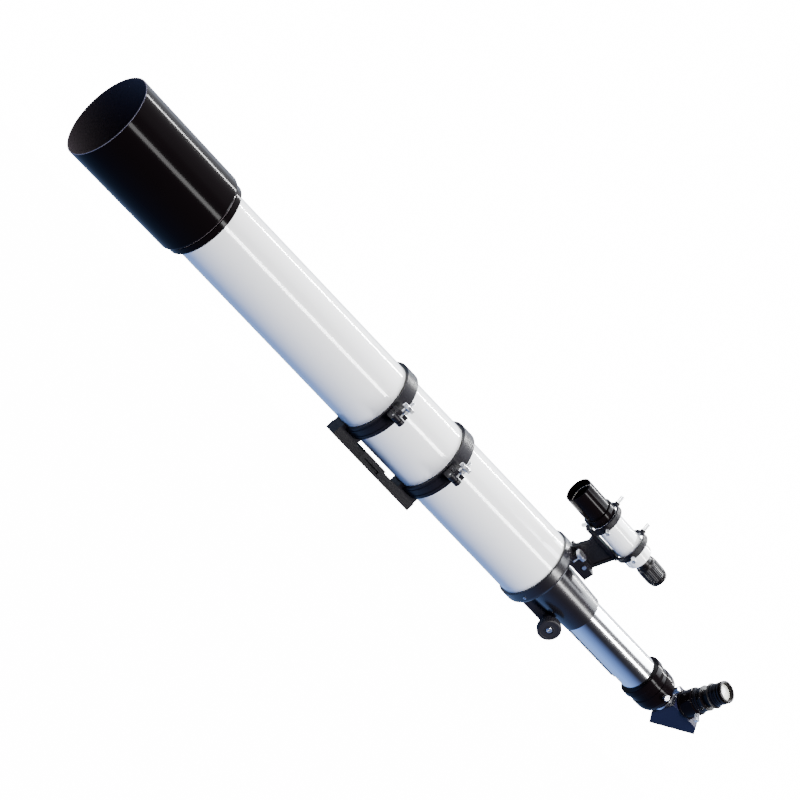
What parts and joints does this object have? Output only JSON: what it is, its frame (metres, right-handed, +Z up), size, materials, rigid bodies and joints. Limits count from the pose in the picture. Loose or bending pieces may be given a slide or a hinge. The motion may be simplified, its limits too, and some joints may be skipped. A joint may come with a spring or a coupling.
{
  "type": "refractor telescope",
  "caption": "Long white refractor telescope tube with black dew shield, rack focuser, star diagonal, eyepiece, finder and hinged tube rings on a mounting bar.",
  "frame": {"origin": "middle of the mounting bar's underside, halfway between the two tube rings", "axes": "+Z up from the bar through the tube, X along the optical axis with the objective at -X and the eyepiece at +X; the tube is turned 21 degrees in its rings, which leans the finder towards -Y"},
  "size_m": [1.302, 0.1561, 0.2299],
  "materials": {
    "black_casting": "satin black paint on cast aluminium",
    "black_gloss": "gloss black enamel",
    "white_gloss": "gloss white enamel",
    "chrome": "polished chrome plate",
    "steel": "turned steel",
    "lens": "coated optical glass",
    "black_plastic": "black plastic",
    "felt": "black felt lining",
    "blue_black": "dark blue-black moulded plastic"
  },
  "bodies": {
    "cradle": {"mounting_bar": "black_casting", "front_ring_lower": "black_casting", "rear_ring_lower": "black_casting", "front_ring_upper": "black_casting", "rear_ring_upper": "black_casting", "ring_linings": "felt", "ring_pins": "steel", "ring_foot_bolts": "steel"},
    "front_swing_bolt": {"front_swing_bolt": "chrome"},
    "rear_swing_bolt": {"rear_swing_bolt": "chrome"},
    "front_clamp_nut": {"front_clamp_nut": "chrome"},
    "rear_clamp_nut": {"rear_clamp_nut": "chrome"},
    "telescope": {"main_tube": "white_gloss", "lens_cell": "black_gloss", "objective_crown": "lens", "objective_flint": "lens", "lens_spacer": "black_gloss", "lens_retaining_ring": "black_gloss", "tube_baffles": "black_gloss", "focuser_body": "black_casting", "pinion_cover": "black_casting", "pinion_cover_screws": "steel", "finder_shoe": "black_casting", "finder_shoe_screws": "chrome"},
    "dew_shield": {"dew_shield": "black_gloss"},
    "drawtube": {"drawtube": "chrome", "drawtube_rack": "steel", "drawtube_collar": "black_gloss", "diagonal_adapter": "black_gloss"},
    "collar_thumbscrew_near": {"collar_thumbscrew_near": "chrome"},
    "collar_thumbscrew_far": {"collar_thumbscrew_far": "chrome"},
    "adapter_thumbscrew": {"adapter_thumbscrew": "chrome"},
    "pinion": {"pinion_shaft": "steel", "focus_knob_left": "black_plastic", "focus_knob_right": "black_plastic", "focus_knob_screws": "chrome"},
    "diagonal": {"diagonal_nosepiece": "chrome", "diagonal_housing": "blue_black", "diagonal_prism": "lens", "diagonal_back_plate": "black_plastic", "eyepiece_holder": "black_gloss"},
    "holder_thumbscrew": {"holder_thumbscrew": "chrome"},
    "eyepiece": {"eyepiece_barrel": "chrome", "eyepiece_body": "black_gloss", "eyepiece_eye_lens": "lens", "eyepiece_field_lens": "lens"},
    "finder_lock_screw": {"finder_lock_screw": "chrome"},
    "finder": {"finder_bracket": "black_casting", "finder_tube": "white_gloss", "finder_hood": "black_gloss", "finder_objective": "lens"},
    "finder_eyepiece": {"finder_eyepiece": "black_gloss", "finder_eye_lens": "lens"},
    "finder_front_side_screw": {"finder_front_side_screw": "chrome"},
    "finder_front_top_screw": {"finder_front_top_screw": "chrome"},
    "finder_front_under_screw": {"finder_front_under_screw": "chrome"},
    "finder_rear_side_screw": {"finder_rear_side_screw": "chrome"},
    "finder_rear_top_screw": {"finder_rear_top_screw": "chrome"},
    "finder_rear_under_screw": {"finder_rear_under_screw": "chrome"}
  },
  "joints": [
    {"name": "tube_slide", "type": "slide", "parent": "cradle", "child": "telescope", "axis": [1, 0, 0], "range_m": [-0.1, 0.1]},
    {"name": "dew_shield_slide", "type": "slide", "parent": "telescope", "child": "dew_shield", "axis": [-1, 0, 0], "range_m": [0, 0.03]},
    {"name": "focus_travel", "type": "slide", "parent": "telescope", "child": "drawtube", "axis": [1, 0, 0], "range_m": [-0.125, 0.015]},
    {"name": "pinion_turn", "type": "hinge", "parent": "telescope", "child": "pinion", "pos_m": [0.367, 0.01276, 0.04276], "axis": [0, 0.9336, 0.3584], "range_deg": [-1120, 135]},
    {"name": "collar_screw_near_turn", "type": "hinge", "parent": "drawtube", "child": "collar_thumbscrew_near", "pos_m": [0.5705, 0, 0.076], "axis": [0, -0.9925, 0.1219], "range_deg": [-20, 720]},
    {"name": "collar_screw_far_turn", "type": "hinge", "parent": "drawtube", "child": "collar_thumbscrew_far", "pos_m": [0.5705, 0, 0.076], "axis": [0, 0.9925, -0.1219], "range_deg": [-20, 720]},
    {"name": "adapter_screw_turn", "type": "hinge", "parent": "drawtube", "child": "adapter_thumbscrew", "pos_m": [0.586, 0, 0.076], "axis": [0, -0.5736, 0.8192], "range_deg": [-20, 720]},
    {"name": "diagonal_turn", "type": "hinge", "parent": "drawtube", "child": "diagonal", "pos_m": [0.6135, 0, 0.076], "axis": [1, 0, 0], "continuous": true},
    {"name": "holder_screw_turn", "type": "hinge", "parent": "diagonal", "child": "holder_thumbscrew", "pos_m": [0.6135, -0.03035, 0.10855], "axis": [0.342, -0.6872, -0.6409], "range_deg": [-20, 720]},
    {"name": "eyepiece_slide", "type": "slide", "parent": "diagonal", "child": "eyepiece", "axis": [0, -0.682, 0.7314], "range_m": [0, 0.019]},
    {"name": "finder_lock_turn", "type": "hinge", "parent": "telescope", "child": "finder_lock_screw", "pos_m": [0.31, -0.03486, 0.12635], "axis": [0, -0.3584, 0.9336], "range_deg": [-20, 720]},
    {"name": "finder_slide", "type": "slide", "parent": "telescope", "child": "finder", "axis": [1, 0, 0], "range_m": [0, 0.03]},
    {"name": "finder_front_side_turn", "type": "hinge", "parent": "finder", "child": "finder_front_side_screw", "pos_m": [0.29, -0.04354, 0.18943], "axis": [0, -0.9563, -0.2924], "range_deg": [-20, 720]},
    {"name": "finder_front_top_turn", "type": "hinge", "parent": "finder", "child": "finder_front_top_screw", "pos_m": [0.29, -0.04354, 0.18943], "axis": [0, 0.225, 0.9744], "range_deg": [-20, 720]},
    {"name": "finder_front_under_turn", "type": "hinge", "parent": "finder", "child": "finder_front_under_screw", "pos_m": [0.29, -0.04354, 0.18943], "axis": [0, 0.7314, -0.682], "range_deg": [-20, 720]},
    {"name": "finder_rear_side_turn", "type": "hinge", "parent": "finder", "child": "finder_rear_side_screw", "pos_m": [0.35, -0.04354, 0.18943], "axis": [0, -0.9563, -0.2924], "range_deg": [-20, 720]},
    {"name": "finder_rear_top_turn", "type": "hinge", "parent": "finder", "child": "finder_rear_top_screw", "pos_m": [0.35, -0.04354, 0.18943], "axis": [0, 0.225, 0.9744], "range_deg": [-20, 720]},
    {"name": "finder_rear_under_turn", "type": "hinge", "parent": "finder", "child": "finder_rear_under_screw", "pos_m": [0.35, -0.04354, 0.18943], "axis": [0, 0.7314, -0.682], "range_deg": [-20, 720]},
    {"name": "finder_focus_turn", "type": "hinge", "parent": "finder", "child": "finder_eyepiece", "pos_m": [0.38298, -0.04285, 0.18764], "axis": [0.9998, 0.0074, -0.0192], "range_deg": [-180, 180]},
    {"name": "front_bolt_swing", "type": "hinge", "parent": "cradle", "child": "front_swing_bolt", "pos_m": [-0.0632, -0.0785, 0.0775], "axis": [1, 0, 0], "range_deg": [0, 95]},
    {"name": "front_nut_turn", "type": "hinge", "parent": "front_swing_bolt", "child": "front_clamp_nut", "pos_m": [-0.0632, -0.0785, 0.0775], "axis": [0, 0, 1], "continuous": true},
    {"name": "rear_bolt_swing", "type": "hinge", "parent": "cradle", "child": "rear_swing_bolt", "pos_m": [0.0632, -0.0785, 0.0775], "axis": [1, 0, 0], "range_deg": [0, 95]},
    {"name": "rear_nut_turn", "type": "hinge", "parent": "rear_swing_bolt", "child": "rear_clamp_nut", "pos_m": [0.0632, -0.0785, 0.0775], "axis": [0, 0, 1], "continuous": true}
  ],
  "couplings": [
    {"joint": "pinion_turn", "follows": "focus_travel", "rad_per_m": 156.25}
  ]
}
